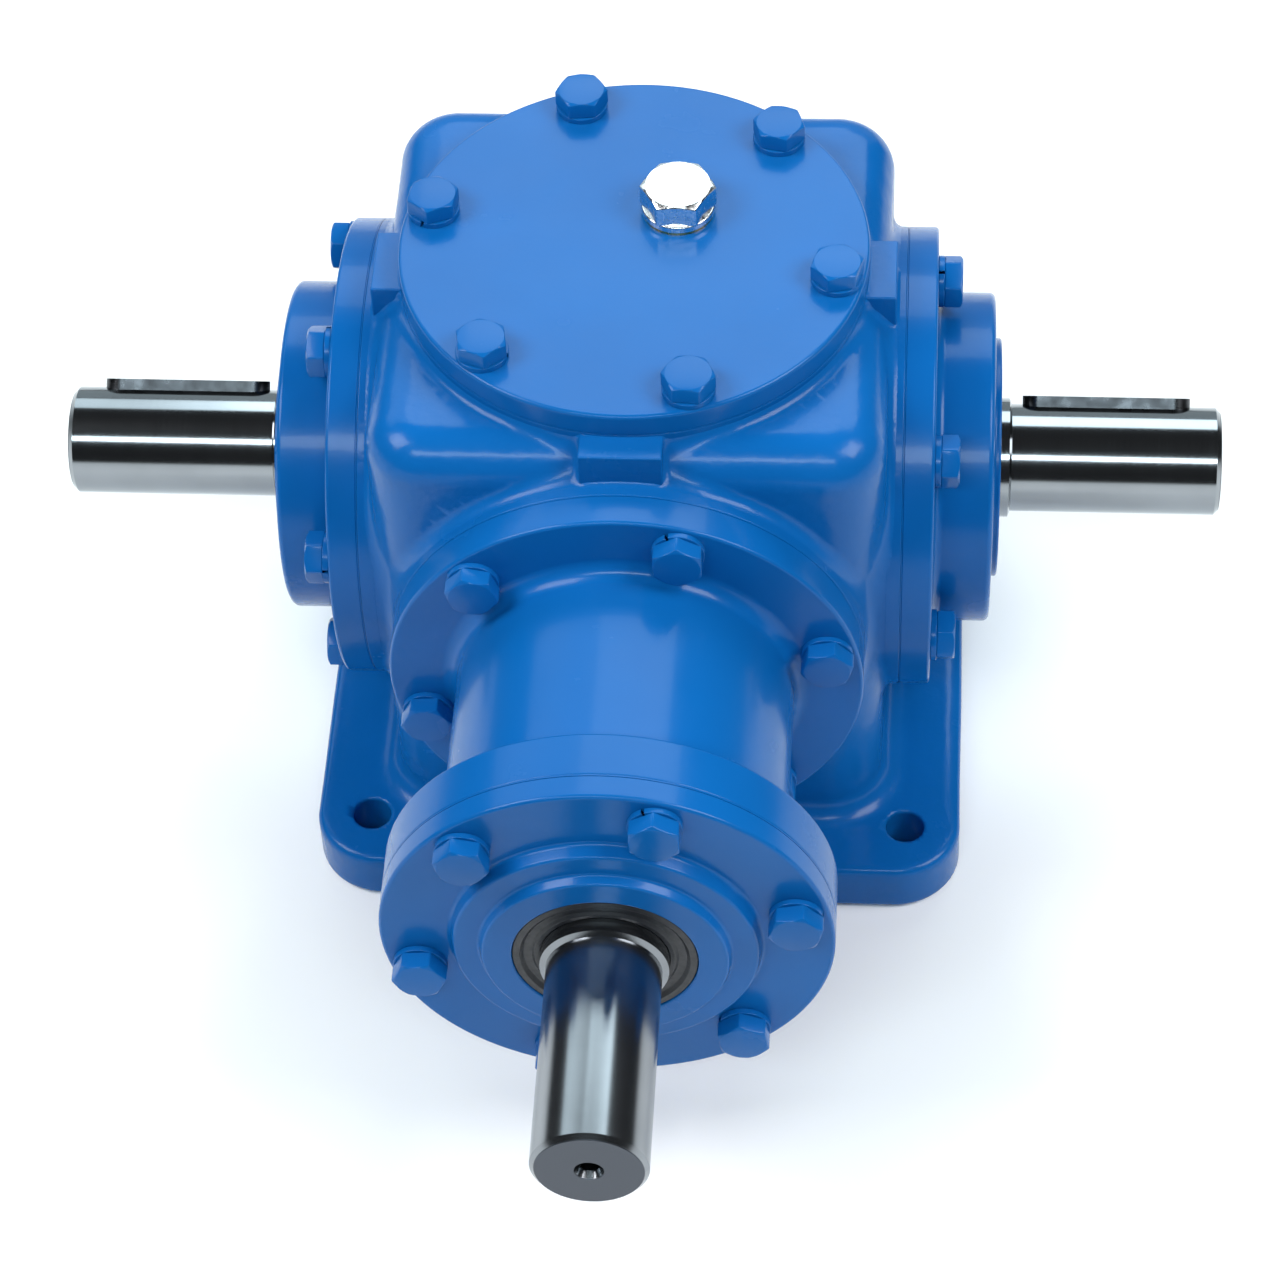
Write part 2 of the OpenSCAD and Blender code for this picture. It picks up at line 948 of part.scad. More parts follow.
module input_cap() {
    spigot_r = input_bearing[1] - fit;
    seal_floor = cap_step_out - seal_width - 0.5;
    color(paint)
        on_front()
            difference() {
                turned([
                    [42, 241],
                    [spigot_r, 241],
                    [spigot_r, cap_in],
                    [cap_radius, cap_in],
                    [cap_radius, cap_flange_out - 1.5],
                    [cap_radius - 1.5, cap_flange_out],
                    [61, cap_flange_out],
                    [60, cap_flange_out + 1],
                    [59, cap_ring_out - 1],
                    [58, cap_ring_out],
                    [48.5, cap_ring_out],
                    [48, cap_step_out - 1],
                    [47, cap_step_out],
                    [seal_r, cap_step_out],
                    [seal_r, seal_floor],
                    [journal_r + 4, seal_floor],
                    [journal_r + 4, seal_floor - 3.5],
                    [42, seal_floor - 3.5]
                ]);
                bolt_holes(cap_bolt_circle, front_phase, bolt_hole_d, cap_in - 1, cap_flange_out + 1);
            }
}

module input_cap_gasket() {
    color(paper)
        on_front()
            flange_seal(input_bearing[1] + 0.2, cap_radius, cap_bolt_circle, front_phase,
                quill_front_out, gasket);
}

module input_cap_bolts() {
    color(paint)
        on_front()
            bolt_group(cap_bolt_circle, front_phase, cap_flange_out, 30);
}

module input_cap_washers() {
    color(paint)
        on_front()
            washer_group(cap_bolt_circle, front_phase, cap_flange_out);
}

module input_oil_seal() {
    color(rubber)
        on_front()
            oil_seal(cap_step_out - 0.5);
}

module inner_bearing_cup() {
    color(steel)
        on_front()
            in_inner_bearing()
                bearing_cup(input_bearing);
}

module inner_bearing_rollers() {
    color(steel)
        on_front()
            in_inner_bearing()
                roller_ring(input_bearing);
}

module inner_bearing_cage() {
    color(dark_steel)
        on_front()
            in_inner_bearing()
                bearing_cage(input_bearing);
}

module inner_bearing_cone() {
    color(steel)
        on_front()
            in_inner_bearing()
                bearing_cone(input_bearing);
}

module outer_bearing_cup() {
    color(steel)
        on_front()
            in_outer_bearing()
                bearing_cup(input_bearing);
}

module outer_bearing_rollers() {
    color(steel)
        on_front()
            in_outer_bearing()
                roller_ring(input_bearing);
}

module outer_bearing_cage() {
    color(dark_steel)
        on_front()
            in_outer_bearing()
                bearing_cage(input_bearing);
}

module outer_bearing_cone() {
    color(steel)
        on_front()
            in_outer_bearing()
                bearing_cone(input_bearing);
}

// ---------------------------------------------------------------- input shaft

pinion_seat_r = 25;
pinion_thread_r = 22.4;
bearing_seat_r = 27.5;
pinion_key_length = 32;
pinion_key_low = 52;

module input_shaft() {
    half = shaft_d / 2;
    key_low = input_reach - key_inset - key_length;
    color(steel)
        on_front()
            difference() {
                turned([
                    [0, 34],
                    [pinion_thread_r - 1.5, 34],
                    [pinion_thread_r, 35.5],
                    [pinion_thread_r, gear_front + 2],
                    [pinion_seat_r, gear_front + 2],
                    [pinion_seat_r, gear_back + 0.5],
                    [bearing_seat_r, gear_back + 0.5],
                    [bearing_seat_r, inner_cone_back + input_bearing[3] + 1],
                    [31, inner_cone_back + input_bearing[3] + 2],
                    [31, 204],
                    [bearing_seat_r, 206],
                    [bearing_seat_r, 252],
                    [journal_r, 253],
                    [journal_r, input_collar_out - 1],
                    [half, input_collar_out],
                    [half, input_reach - 2],
                    [half - 2, input_reach],
                    [0, input_reach]
                ]);
                rotate(90)
                    keyway(key_width, key_depth, half, key_length, key_low);
                keyway(key_width, key_depth, pinion_seat_r, pinion_key_length, pinion_key_low);
                centre_hole(1, input_reach);
            }
}

module input_shaft_key() {
    color(steel)
        on_front()
            rotate(90)
                key(key_width, key_height, key_length, shaft_d / 2 - key_depth + 0.02,
                    input_reach - key_inset - key_length);
}

module input_pinion() {
    color(dark_steel)
        on_front()
            bevel_gear(-1, 180 / gear_teeth, pinion_seat_r, key_width + 2 * fit, pinion_seat_r + 4);
}

module pinion_key() {
    color(steel)
        on_front()
            key(key_width, key_height, pinion_key_length, pinion_seat_r - key_depth + 0.02,
                pinion_key_low);
}

module pinion_lock_washer() {
    color(steel)
        on_front()
            tab_washer(pinion_thread_r + fit, 31, gear_front - 1.5, gear_front);
}

module pinion_lock_nut() {
    color(dark_steel)
        on_front()
            slotted_nut(pinion_thread_r + fit, 32, gear_front - 10.5, gear_front - 1.5);
}

module pinion_spacer() {
    color(dark_steel)
        on_front()
            ring(bearing_seat_r + fit, 34, gear_back, inner_cone_back);
}

module bearing_lock_washer() {
    color(steel)
        on_front()
            tab_washer(bearing_seat_r + fit, 34, outer_cone_back, outer_cone_back + 1.5);
}

module bearing_lock_nut() {
    color(dark_steel)
        on_front()
            slotted_nut(bearing_seat_r + fit, 37.5, outer_cone_back + 1.5, outer_cone_back + 12.5);
}

// ---------------------------------------------------------------- one line for each node

housing();
top_cover();
top_cover_gasket();
top_cover_bolts();
top_cover_washers();
filler_plug();
filler_plug_washer();
drain_plug();
drain_plug_washer();
oil_sight_glass();
bearing_cover(-1);  // left_bearing_cover
cover_shims(-1);  // left_cover_shims
cover_bolts(-1);  // left_cover_bolts
cover_washers(-1);  // left_cover_washers
side_oil_seal(-1);  // left_oil_seal
side_bearing_cup(-1);  // left_bearing_cup
side_bearing_rollers(-1);  // left_bearing_rollers
side_bearing_cage(-1);  // left_bearing_cage
side_bearing_cone(-1);  // left_bearing_cone
bearing_cover(1);  // right_bearing_cover
cover_shims(1);  // right_cover_shims
cover_bolts(1);  // right_cover_bolts
cover_washers(1);  // right_cover_washers
side_oil_seal(1);  // right_oil_seal
side_bearing_cup(1);  // right_bearing_cup
side_bearing_rollers(1);  // right_bearing_rollers
side_bearing_cage(1);  // right_bearing_cage
side_bearing_cone(1);  // right_bearing_cone
quill_housing();
quill_shims();
quill_bolts();
quill_washers();
inner_bearing_cup();
inner_bearing_rollers();
inner_bearing_cage();
inner_bearing_cone();
outer_bearing_cup();
outer_bearing_rollers();
outer_bearing_cage();
outer_bearing_cone();
input_cap();
input_cap_gasket();
input_cap_bolts();
input_cap_washers();
input_oil_seal();
input_shaft();
input_pinion();
pinion_key();
pinion_lock_washer();
pinion_lock_nut();
pinion_spacer();
input_shaft_key();
bearing_lock_washer();
bearing_lock_nut();
output_shaft();
output_gear();
gear_key();
gear_spacer();
output_shaft_key(-1);  // left_shaft_key
output_shaft_key(1);  // right_shaft_key
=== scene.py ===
import math

import bpy
import numpy as np
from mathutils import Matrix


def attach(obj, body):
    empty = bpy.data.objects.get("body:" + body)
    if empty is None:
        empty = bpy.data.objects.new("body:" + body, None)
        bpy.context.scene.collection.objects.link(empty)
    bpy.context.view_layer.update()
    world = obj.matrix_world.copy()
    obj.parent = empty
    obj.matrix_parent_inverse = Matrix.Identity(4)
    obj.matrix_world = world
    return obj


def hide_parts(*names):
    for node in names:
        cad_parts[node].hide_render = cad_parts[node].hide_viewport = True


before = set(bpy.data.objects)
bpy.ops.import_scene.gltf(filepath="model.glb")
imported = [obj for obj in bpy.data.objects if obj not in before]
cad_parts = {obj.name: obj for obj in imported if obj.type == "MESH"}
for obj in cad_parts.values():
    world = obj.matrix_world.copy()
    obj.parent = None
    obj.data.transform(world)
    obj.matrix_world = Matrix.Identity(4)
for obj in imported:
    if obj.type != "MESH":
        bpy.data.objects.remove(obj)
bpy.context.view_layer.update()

import openvdb
from mathutils import Matrix, Vector

# Shapes are written in millimetres in the row frame and become metres in new_mesh().
MM = 0.001
AXIS_HEIGHT = 140
SIDES = {"left": -1, "right": 1}

FLANGE_R = 96
COVER_R = 95
CAP_FLANGE_R = 88.3
OPENING_R = 75
TOP_OPENING_R = 72
SPIGOT_R = 74.9
BEARING_R = {"output": 55, "input": 50}
SEAL_R = 36
BOLT_CIRCLE = 84
CAP_BOLT_CIRCLE = 75.5
SHAFT_REACH = {"x": 242, "y": 362}

# The casting. A face is the distance of a machined end from the shafts' crossing.
BODY_HALF = (103.5, 103)
BODY_TOP = 246
FOOT_HALF = (137.5, 133.5)
FOOT_THICKNESS = 25
FOOT_HOLE = (114, 108.5)
FOOT_HOLE_R = 8
SIDE_FACE, FRONT_FACE, TOP_FACE = 110, 112, 111.5
LAND_TOP = 250.5
LAND_SIDES = ((-1, 0), (1, 0), (0, -1))
DRAIN_HEIGHT, SIGHT_GLASS_HEIGHT = 46, 104

# The seats that bolt heads and washers stand on, from the shafts' crossing.
TOP_SEAT, COVER_SEAT, QUILL_SEAT, CAP_SEAT = 122, 122.8, 126.8, 255.6
WASHER_THICKNESS = 2.5


# ---------------------------------------------------------------- placing

def on_side(side):
    """Local +Z becomes +X (side 1) or -X (side -1) at the height of the shafts."""
    lift = Matrix.Translation((0, 0, AXIS_HEIGHT))
    turn = Matrix.Rotation(0 if side > 0 else math.pi, 4, "Z")
    return lift @ turn @ Matrix.Rotation(math.pi / 2, 4, "Y")


def on_front():
    """Local +Z becomes -Y at the height of the shafts, and local Y becomes +Z."""
    return Matrix.Translation((0, 0, AXIS_HEIGHT)) @ Matrix.Rotation(math.pi / 2, 4, "X")


def on_top():
    """Local axes stay as they are, with the origin at the crossing of the shafts."""
    return Matrix.Translation((0, 0, AXIS_HEIGHT))


def on_rear(height):
    """Local +Z becomes +Y on the rear wall at that height."""
    at_wall = Matrix.Translation((0, BODY_HALF[1], height))
    return at_wall @ Matrix.Rotation(-math.pi / 2, 4, "X")


def around(count, radius, phase):
    """Places on a circle, with local X pointing outwards."""
    for k in range(count):
        turn = Matrix.Rotation(math.radians(phase + 360 * k / count), 4, "Z")
        yield turn @ Matrix.Translation((radius, 0, 0))


# ---------------------------------------------------------------- meshes

def new_mesh(name, points, faces, normals=None, place=Matrix.Identity(4)):
    """A mesh object from points in millimetres, with its own normals where they are given."""
    points = np.asarray(points, float)
    turn = np.array(place.to_3x3())
    mesh = bpy.data.meshes.new(name)
    mesh.from_pydata(((points @ turn.T + np.array(place.translation)) * MM).tolist(), [], faces)
    mesh.polygons.foreach_set("use_smooth", [True] * len(mesh.polygons))
    if normals is not None:
        mesh.normals_split_custom_set_from_vertices((np.asarray(normals) @ turn.T).tolist())
    obj = bpy.data.objects.new(name, mesh)
    bpy.context.scene.collection.objects.link(obj)
    return obj


def finish_piece(obj, body, material, slot, *nodes):
    """Rides the piece on its body, gives it its material and hides the CAD nodes it stands for."""
    obj.data.materials.append(material)
    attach(obj, body)
    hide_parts(*nodes)
    return obj


def rounded_outline(corners, closed=True):
    """Turns corners (radius, height, rounding) into points with outward normals.

    The outline runs so that the solid is on its left. An open one starts and ends on the axis.
    """
    count = len(corners)
    points, normals = [], []
    for i, (r, z, rounding) in enumerate(corners):
        here = np.array((r, z), float)
        if not closed and i in (0, count - 1):
            points.append(here)
            normals.append(np.array((0.0, -1.0 if i == 0 else 1.0)))
            continue
        before = np.array(corners[i - 1][:2], float) - here
        after = np.array(corners[(i + 1) % count][:2], float) - here
        reach = 0.45 * min(np.linalg.norm(before), np.linalg.norm(after))
        before /= np.linalg.norm(before)
        after /= np.linalg.norm(after)
        half = math.acos(max(-1, min(1, float(before @ after)))) / 2
        rounding = min(rounding, reach * math.tan(half))
        start = here + before * rounding / math.tan(half)
        normal_in = np.array((-before[1], before[0]))
        normal_out = np.array((after[1], -after[0]))
        bulge = math.copysign(1, float(normal_in @ -after))
        centre = start - normal_in * rounding * bulge
        steps = 2 + int(rounding > 0.7) * 2 + int(rounding > 3) * 4
        for t in np.linspace(0, 1, steps + 1):
            mixed = (1 - t) * normal_in + t * normal_out
            mixed /= np.linalg.norm(mixed)
            points.append(centre + mixed * rounding * bulge)
            normals.append(mixed)
    return np.array(points), np.array(normals)


def lathe(name, corners, place, closed=True, segments=192):
    """Sweeps a rounded outline around local Z."""
    outline, outline_normals = rounded_outline(corners, closed)
    angles = np.linspace(0, 2 * math.pi, segments, endpoint=False)
    cos, sin = np.cos(angles), np.sin(angles)
    points, normals, first = [], [], []
    for (r, z), (nr, nz) in zip(outline, outline_normals):
        first.append(len(points))
        if r < 1e-6:
            points.append((0, 0, z))
            normals.append((0, 0, math.copysign(1, nz)))
            continue
        points += list(zip(r * cos, r * sin, np.full(segments, z)))
        normals += list(zip(nr * cos, nr * sin, np.full(segments, nz)))
    faces = []
    count = len(outline)
    for i in range(count if closed else count - 1):
        low, high = first[i], first[(i + 1) % count]
        low_tip, high_tip = outline[i][0] < 1e-6, outline[(i + 1) % count][0] < 1e-6
        for k in range(segments):
            m = (k + 1) % segments
            if low_tip:
                faces.append((low, high + m, high + k))
            elif high_tip:
                faces.append((low + k, low + m, high))
            else:
                faces.append((low + k, low + m, high + m, high + k))
    return new_mesh(name, points, faces, normals, place)


def join(name, objects):
    """One object from several, keeping each one's own normals."""
    for obj in bpy.context.selected_objects:
        obj.select_set(False)
    for obj in objects:
        obj.select_set(True)
    bpy.context.view_layer.objects.active = objects[0]
    if len(objects) > 1:
        bpy.ops.object.join()
    joined = bpy.context.view_layer.objects.active
    joined.name = name
    joined.data.name = name
    return joined


# ---------------------------------------------------------------- implicit casting

def fillet_union(a, b, radius):
    """Joins two distance fields with a fillet between them."""
    u = np.maximum(radius - a, 0)
    v = np.maximum(radius - b, 0)
    return np.maximum(radius, np.minimum(a, b)) - np.hypot(u, v)


def round_common(a, b, radius):
    """What two fields share, with the edge between them rounded."""
    return -fillet_union(-a, -b, radius)


def slab(x, y, z, half, corner, low, high, edge):
    """Rounded rectangle in plan, between two heights."""
    qx = np.abs(x) - half[0] + corner
    qy = np.abs(y) - half[1] + corner
    plan = np.hypot(np.maximum(qx, 0), np.maximum(qy, 0)) + np.minimum(np.maximum(qx, qy), 0)
    upright = np.abs(z - (low + high) / 2) - (high - low) / 2
    return round_common(plan - corner, upright, edge)


def drum(along, u, v, radius, low, high, edge):
    """Cylinder along one coordinate, centred on u = v = 0."""
    span = np.abs(along - (low + high) / 2) - (high - low) / 2
    return round_common(np.hypot(u, v) - radius, span, edge)


def waviness(x, y, z):
    """Slow unevenness of an as-cast wall, in millimetres."""
    return 0.16 * (np.sin(x / 13 + y / 29) * np.sin(z / 17 + 1) + np.sin(y / 15 - z / 23 + 2))


def casting_field(p):
    """Signed distance to the housing: negative inside the metal."""
    x, y, z = p[..., 0], p[..., 1], p[..., 2]
    h = z - AXIS_HEIGHT
    body = slab(x, y, z, BODY_HALF, corner=24, low=-30, high=BODY_TOP, edge=18)
    foot = slab(x, y, z, FOOT_HALF, corner=28, low=0, high=FOOT_THICKNESS, edge=3.5)
    above_foot = np.clip(z / FOOT_THICKNESS - 0.2, 0, 1)
    metal = fillet_union(body, foot, 11) + waviness(x, y, z) * above_foot
    sides = drum(x, y, h, FLANGE_R, low=1 - SIDE_FACE, high=SIDE_FACE - 1, edge=2.5)
    front = drum(-y, x, h, FLANGE_R, low=0, high=FRONT_FACE - 1, edge=2.5)
    top = drum(h, x, y, COVER_R, low=0, high=TOP_FACE - 1, edge=2.5)
    for boss, fillet in ((sides, 4.5), (front, 5.5), (top, 4.5)):
        metal = fillet_union(metal, boss, fillet)
    for turn_x, turn_y in LAND_SIDES:
        across, out = x * turn_y - y * turn_x, x * turn_x + y * turn_y
        land = slab(across, out - 92, z, (16, 13), corner=2.5, low=220, high=LAND_TOP - 0.5, edge=2.5)
        metal = fillet_union(metal, land, 3.5)
    for height, radius in ((DRAIN_HEIGHT, 17), (SIGHT_GLASS_HEIGHT, 22)):
        pad = drum(y, x, z - height, radius, low=80, high=105, edge=0.8)
        metal = fillet_union(metal, pad, 3)
    metal = np.maximum(metal, -z)
    hollow = slab(x, y, z, (92, 92), corner=20, low=20, high=232, edge=12)
    hollow = np.minimum(hollow, drum(x, y, h, OPENING_R, low=-130, high=130, edge=0))
    hollow = np.minimum(hollow, drum(-y, x, h, OPENING_R, low=0, high=130, edge=0))
    hollow = np.minimum(hollow, drum(h, x, y, TOP_OPENING_R, low=0, high=130, edge=0))
    for side_x in (-1, 1):
        for side_y in (-1, 1):
            from_hole = np.hypot(x - side_x * FOOT_HOLE[0], y - side_y * FOOT_HOLE[1])
            hollow = np.minimum(hollow, from_hole - FOOT_HOLE_R)
    return round_common(metal, -hollow, 1)


def gradient(field, points, step):
    """Slope of the field at each point, by central differences."""
    slope = np.empty_like(points)
    for axis in range(3):
        shift = np.zeros(3)
        shift[axis] = step
        slope[:, axis] = (field(points + shift) - field(points - shift)) / (2 * step)
    return slope


def surface_of(name, field, low, high, step, adaptivity):
    """Mesh of the field's zero surface, with its points and normals taken from the field itself."""
    counts = np.ceil((np.array(high) - np.array(low)) / step).astype(int) + 1
    axes = [low[i] + step * np.arange(counts[i]) for i in range(3)]
    values = np.empty(counts, np.float32)
    yy, zz = np.meshgrid(axes[1], axes[2], indexing="ij")
    for i, x in enumerate(axes[0]):
        values[i] = field(np.stack((np.full_like(yy, x), yy, zz), axis=-1))
    grid = openvdb.FloatGrid()
    grid.copyFromArray(np.ascontiguousarray(np.clip(values, -4 * step, 4 * step)))
    points, triangles, quads = grid.convertToPolygons(isovalue=0.0, adaptivity=adaptivity)
    points = np.array(points, float) * step + np.array(low)
    for _ in range(3):
        slope = gradient(field, points, 0.05)
        size = np.maximum((slope**2).sum(1), 0.25)
        move = field(points)[:, None] * slope / size[:, None]
        points -= np.clip(move, -step / 2, step / 2)
    slope = gradient(field, points, 0.25)
    normals = slope / np.maximum(np.linalg.norm(slope, axis=1), 1e-6)[:, None]
    faces = [tuple(int(i) for i in f) for f in (*triangles, *quads)]
    return new_mesh(name, points, faces, normals)


# ---------------------------------------------------------------- materials

def new_material(name, base, metallic, roughness, **more):
    """A material and its Principled shader, whose constant values are set on its own sockets."""
    material = bpy.data.materials.new(name)
    material.use_nodes = True
    shader = material.node_tree.nodes["Principled BSDF"]
    shader.inputs["Base Color"].default_value = (*base, 1)
    shader.inputs["Metallic"].default_value = metallic
    shader.inputs["Roughness"].default_value = roughness
    for key, value in more.items():
        shader.inputs[key.replace("_", " ")].default_value = value
    return material, shader


def node(material, kind, **settings):
    """Adds a shader node; a setting is an input's constant or a property of the node."""
    made = material.node_tree.nodes.new("ShaderNode" + kind)
    for key, value in settings.items():
        if key in made.inputs:
            made.inputs[key].default_value = value
        elif key.replace("_", " ") in made.inputs:
            made.inputs[key.replace("_", " ")].default_value = value
        else:
            setattr(made, key, value)
    return made


def link(material, source, target):
    material.node_tree.links.new(source, target)


def noise(material, scale, detail=3.0, stretch=(1, 1, 1), where=(0, 0, 0)):
    """Noise in object space, in cycles per metre, optionally stretched."""
    at = node(material, "TexCoord")
    mapping = node(material, "Mapping")
    mapping.inputs["Scale"].default_value = stretch
    mapping.inputs["Location"].default_value = where
    texture = node(material, "TexNoise", Scale=scale, Detail=detail)
    link(material, at.outputs["Object"], mapping.inputs["Vector"])
    link(material, mapping.outputs["Vector"], texture.inputs["Vector"])
    return texture.outputs["Fac"]


def ramp(material, value, low, high, low_at=0.3, high_at=0.7):
    """Maps a value to a number between two limits."""
    made = node(material, "MapRange")
    made.inputs["From Min"].default_value = low_at
    made.inputs["From Max"].default_value = high_at
    made.inputs["To Min"].default_value = low
    made.inputs["To Max"].default_value = high
    link(material, value, made.inputs["Value"])
    return made.outputs["Result"]


def colour_mix(material, value, dark, light, low_at=0.35, high_at=0.65):
    """Mixes two colours by a value."""
    made = node(material, "ValToRGB")
    made.color_ramp.elements[0].position = low_at
    made.color_ramp.elements[0].color = (*dark, 1)
    made.color_ramp.elements[1].position = high_at
    made.color_ramp.elements[1].color = (*light, 1)
    link(material, value, made.inputs["Fac"])
    return made.outputs["Color"]


def bump(material, shader, height, distance, strength, under=None):
    """Relief from a height, in metres, on top of another bump where one is given."""
    made = node(material, "Bump")
    made.inputs["Distance"].default_value = distance
    made.inputs["Strength"].default_value = strength
    link(material, height, made.inputs["Height"])
    if under is not None:
        link(material, under.outputs["Normal"], made.inputs["Normal"])
    link(material, made.outputs["Normal"], shader.inputs["Normal"])
    return made


def enamel(name, as_cast):
    """Gloss blue enamel: colour drift, orange peel and, on a casting, the sand-cast grain under it."""
    deep, pale = (0.002, 0.094, 0.325), (0.003, 0.110, 0.370)
    material, shader = new_material(name, pale, 0, 0.2,
                                    Specular_IOR_Level=0.14, Coat_Weight=0.09, Coat_Roughness=0.08)
    link(material, colour_mix(material, noise(material, 9, 4), deep, pale), shader.inputs["Base Color"])
    link(material, ramp(material, noise(material, 35, 5), 0.2, 0.28), shader.inputs["Roughness"])
    peel = bump(material, shader, noise(material, 330, 2), 0.00012, 0.3)
    if as_cast:
        bump(material, shader, noise(material, 110, 5), 0.0011, 0.34, peel)
    return material


def ground_steel(name, axis, half_length, tone, rough):
    """Ground steel: fine rings around the axis, and a few fine scratches along it, to end faces
    at half_length metres from the centre."""
    material, shader = new_material(name, tone, 1, rough[0])
    rings = [6, 6, 6]
    rings[axis] = 2600
    scratches = [240, 240, 240]
    scratches[axis] = 6
    ring_noise = noise(material, 1, 3, rings)
    along = noise(material, 1, 2, scratches, (3, 7, 1))
    stain = noise(material, 26, 4)
    shade = colour_mix(material, stain, [c * 0.86 for c in tone], tone)
    link(material, shade, shader.inputs["Base Color"])
    link(material, ramp(material, ring_noise, *rough), shader.inputs["Roughness"])
    rings_bump = bump(material, shader, ring_noise, 0.00001, 0.07)
    bump(material, shader, along, 0.00001, 0.12, rings_bump)
    dull_ends(material, shader, axis, half_length)
    return material


def dull_ends(material, shader, axis, end):
    """Turned end faces, past that distance from the centre, are darker and rougher than the journals."""
    at = node(material, "TexCoord")
    parts = node(material, "SeparateXYZ")
    link(material, at.outputs["Object"], parts.inputs["Vector"])
    distance = node(material, "Math", operation="ABSOLUTE")
    link(material, parts.outputs[axis], distance.inputs[0])
    is_end = ramp(material, distance.outputs["Value"], 0, 1, end - 0.0004, end - 0.0002)
    turned_tone, turned_roughness = (0.08, 0.088, 0.105, 1), (0.38, 0.38, 0.38, 1)
    for name, end_value in (("Base Color", turned_tone), ("Roughness", turned_roughness)):
        mix = node(material, "Mix", data_type="RGBA")
        link(material, is_end, mix.inputs["Factor"])
        link(material, shader.inputs[name].links[0].from_socket, mix.inputs["A"])
        mix.inputs["B"].default_value = end_value
        link(material, mix.outputs["Result"], shader.inputs[name])


def bright_zinc():
    """Bright zinc plate with a faint mottle."""
    material, shader = new_material("bright_zinc", (0.82, 0.83, 0.84), 1, 0.22)
    link(material, ramp(material, noise(material, 420, 4), 0.14, 0.34), shader.inputs["Roughness"])
    bump(material, shader, noise(material, 900, 2), 0.00001, 0.2)
    return material


def seal_rubber():
    """Black moulded rubber."""
    material, shader = new_material("seal_rubber", (0.009, 0.011, 0.016), 0, 0.42)
    link(material, ramp(material, noise(material, 700, 3), 0.34, 0.55), shader.inputs["Roughness"])
    bump(material, shader, noise(material, 1500, 2), 0.00004, 0.6)
    return material


def plain_metal(name, tone, rough, grain):
    """Turned or cut metal that is mostly out of sight."""
    material, shader = new_material(name, tone, 1, rough)
    link(material, colour_mix(material, noise(material, grain / 6, 4), [c * 0.8 for c in tone], tone),
         shader.inputs["Base Color"])
    link(material, ramp(material, noise(material, grain, 3), rough * 0.75, rough * 1.3),
         shader.inputs["Roughness"])
    bump(material, shader, noise(material, grain * 2, 2), 0.00003, 0.5)
    return material


def sight_glass():
    """Clear pane, tinted by the oil behind it."""
    material, shader = new_material("sight_glass", (0.75, 0.66, 0.42), 0, 0.05,
                                    Transmission_Weight=0.85, IOR=1.47)
    link(material, ramp(material, noise(material, 60, 2), 0.03, 0.09), shader.inputs["Roughness"])
    return material


CAST_ENAMEL = enamel("cast_enamel", True)
ENAMEL = enamel("smooth_enamel", False)
SHAFT_X = ground_steel("ground_steel_x", 0, SHAFT_REACH["x"] * MM, (0.29, 0.31, 0.33), (0.10, 0.17))
SHAFT_Y = ground_steel("ground_steel_y", 1, SHAFT_REACH["y"] * MM, (0.26, 0.275, 0.295), (0.19, 0.23))
ZINC = bright_zinc()
RUBBER = seal_rubber()
BEARING = plain_metal("bearing_steel", (0.62, 0.62, 0.63), 0.18, 300)
DARK = plain_metal("dark_steel", (0.30, 0.30, 0.31), 0.34, 220)
KEY = plain_metal("key_steel", (0.06, 0.064, 0.07), 0.3, 160)
BRASS = plain_metal("brass_fittings", (0.70, 0.47, 0.18), 0.26, 260)
GLASS = sight_glass()


# ---------------------------------------------------------------- castings and covers

def flange_rim(name, radius, opening, face, place):
    """The machined end of a boss, a hair wider than the cast surface behind it."""
    outer = radius + 0.05
    corners = [(opening, face - 6, 0.2), (outer, face - 6, 0.2), (outer, face, 0.5), (opening, face, 0.4)]
    return lathe(name, corners, place)


def rounded_block(name, low, high, rounding, place):
    """A box with rounded edges: its corners are spheres, its edges quarter cylinders."""
    low, high = np.array(low, float), np.array(high, float)
    angles = np.linspace(0, math.pi / 2, 4)
    across = rounding * np.sin(angles / 2) * math.sqrt(2)
    points, faces, normals = [], [], []
    for axis in range(3):
        u, v = (axis + 1) % 3, (axis + 2) % 3
        for end in (-1, 1):
            side = [
                np.concatenate((low[k] + rounding - across[::-1], high[k] - rounding + across))
                for k in (u, v)
            ]
            first = len(points)
            count = len(side[0])
            for a in side[0]:
                for b in side[1]:
                    spot = np.empty(3)
                    spot[axis] = high[axis] if end > 0 else low[axis]
                    spot[u], spot[v] = a, b
                    core = np.clip(spot, low + rounding, high - rounding)
                    out = (spot - core) / np.linalg.norm(spot - core)
                    points.append(core + rounding * out)
                    normals.append(out)
            for i in range(count - 1):
                for j in range(count - 1):
                    k = first + i * count + j
                    quad = (k, k + count, k + count + 1, k + 1)
                    faces.append(quad if end > 0 else quad[::-1])
    return new_mesh(name, points, faces, normals, place)


